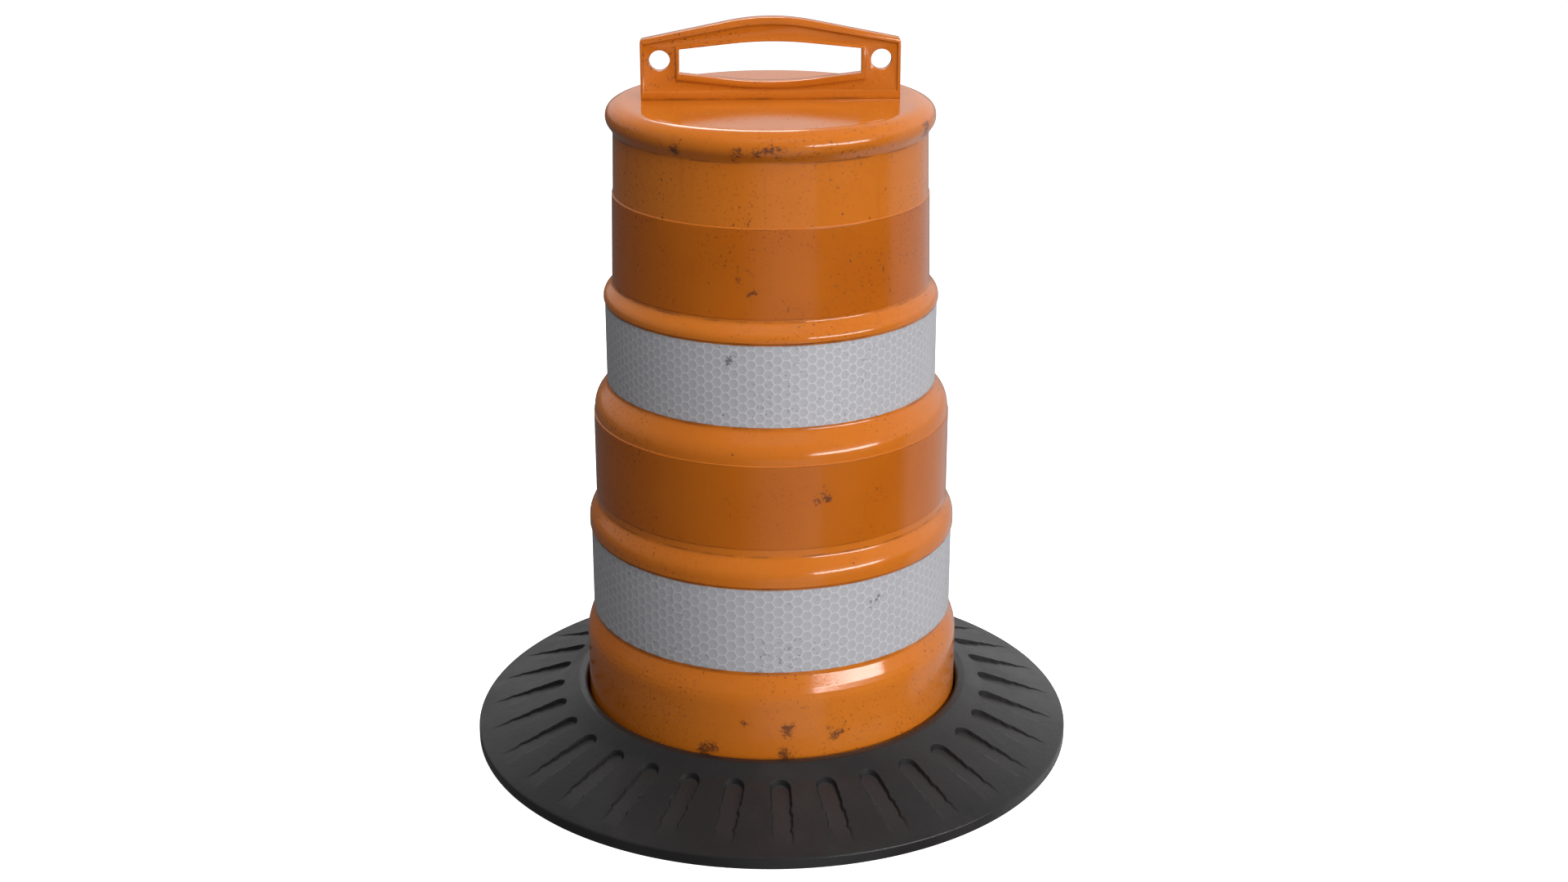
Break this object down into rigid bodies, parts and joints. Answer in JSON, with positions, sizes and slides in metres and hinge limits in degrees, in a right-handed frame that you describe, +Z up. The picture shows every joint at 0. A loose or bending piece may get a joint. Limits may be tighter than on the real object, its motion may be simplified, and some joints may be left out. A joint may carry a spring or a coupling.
{
  "type": "channelizing drum",
  "caption": "Hollow plastic road drum with stepped sides, bands of reflective sheeting, a top carrying handle with light bolt holes and a lift-off rubber ballast ring.",
  "frame": {"origin": "on the ground, on the drum's axis", "axes": "+Z up along the drum's axis, handle along X, hand opening and bolt holes along Y"},
  "size_m": [0.9144, 0.9144, 1.0986],
  "materials": {
    "shell_plastic": "moulded, glossy, scuffed and dusty",
    "handle_plastic": "moulded, satin",
    "orange_sheeting": "reflective sheeting, satin face",
    "white_sheeting": "reflective sheeting with sealed six-sided cells",
    "ballast_rubber": "matt moulded rubber, dusty"
  },
  "bodies": {
    "drum": {"drum_shell": "shell_plastic", "handle": "handle_plastic", "orange_band_upper": "orange_sheeting", "white_band_upper": "white_sheeting", "orange_band_lower": "orange_sheeting", "white_band_lower": "white_sheeting"},
    "ballast": {"ballast_ring": "ballast_rubber"}
  },
  "joints": [
    {"name": "ballast_lift", "type": "slide", "parent": "drum", "child": "ballast", "axis": [0, 0, 1], "range_m": [0, 1.12]}
  ]
}
